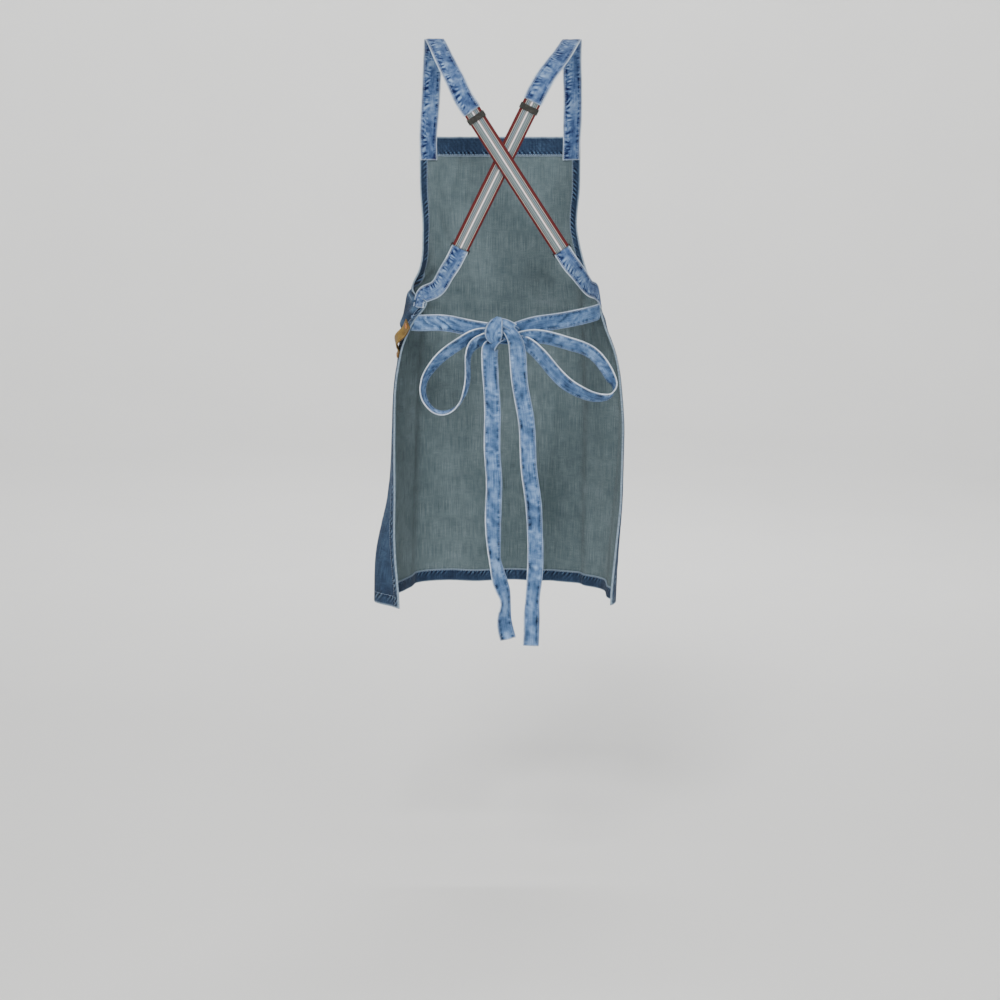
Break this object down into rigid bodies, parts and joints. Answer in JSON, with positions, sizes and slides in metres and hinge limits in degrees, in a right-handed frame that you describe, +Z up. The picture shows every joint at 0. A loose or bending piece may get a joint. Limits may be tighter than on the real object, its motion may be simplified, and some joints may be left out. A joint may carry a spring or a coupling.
{
  "type": "artist smock apron",
  "caption": "Denim cross-back apron with striped elastic back straps, black slide adjusters, patch pockets, a leather tool loop and waist ties knotted in a bow.",
  "frame": {"origin": "midway between the places where the two straps lie on the shoulders", "axes": "+Z up, +Y the way the wearer faces, +X the wearer's right"},
  "size_m": [0.4132, 0.316, 0.9698],
  "materials": {
    "panel_denim": "mid blue twill denim, paler on the wrong side",
    "strap_denim": "washed denim, puckered and pale along the seams",
    "tie_denim": "washed denim with worn pale edges",
    "striped_elastic": "woven elastic, grey stripes with burgundy edges",
    "slide_black": "satin charcoal",
    "ring_black": "satin black",
    "tan_leather": "waxed tan leather with burnished edges",
    "rivet_brass": "worn brass"
  },
  "bodies": {
    "apron": {"apron_panel": "panel_denim", "bib_top_hem": "panel_denim", "bottom_hem": "panel_denim", "chest_pocket": "panel_denim", "bow_knot": "tie_denim", "tool_loop": "tan_leather", "tool_loop_rivets": "rivet_brass", "pocket_rivets": "rivet_brass", "armhole_hem_left": "panel_denim", "armhole_hem_right": "panel_denim", "side_hem_left": "panel_denim", "side_hem_right": "panel_denim", "hand_pocket_left": "panel_denim", "hand_pocket_right": "panel_denim", "shoulder_strap_left": "strap_denim", "shoulder_strap_right": "strap_denim", "elastic_left": "striped_elastic", "elastic_right": "striped_elastic", "elastic_return_left": "striped_elastic", "elastic_return_right": "striped_elastic", "loop_ring_left": "ring_black", "loop_ring_right": "ring_black", "strap_tab_left": "strap_denim", "strap_tab_right": "strap_denim", "waist_tie_left": "tie_denim", "waist_tie_right": "tie_denim", "bow_loop_left": "tie_denim", "bow_loop_right": "tie_denim"},
    "slide_left": {"strap_slide_left": "slide_black", "elastic_end_left": "striped_elastic"},
    "slide_right": {"strap_slide_right": "slide_black", "elastic_end_right": "striped_elastic"},
    "tail_left": {"tie_tail_left": "tie_denim"},
    "tail_right": {"tie_tail_right": "tie_denim"}
  },
  "joints": [
    {"name": "slide_left_travel", "type": "slide", "parent": "apron", "child": "slide_left", "axis": [0.5486, 0.0351, -0.8354], "range_m": [0, 0.042], "deforming": ["elastic_return_left"]},
    {"name": "slide_right_travel", "type": "slide", "parent": "apron", "child": "slide_right", "axis": [-0.4473, 0.0316, -0.8938], "range_m": [0, 0.042], "deforming": ["elastic_return_right"]},
    {"name": "tail_left_swing", "type": "hinge", "parent": "apron", "child": "tail_left", "pos_m": [-0.016, -0.146, -0.48], "axis": [-1, 0, 0], "range_deg": [0, 70]},
    {"name": "tail_right_swing", "type": "hinge", "parent": "apron", "child": "tail_right", "pos_m": [0.027, -0.148, -0.48], "axis": [-1, 0, 0], "range_deg": [0, 70]}
  ]
}
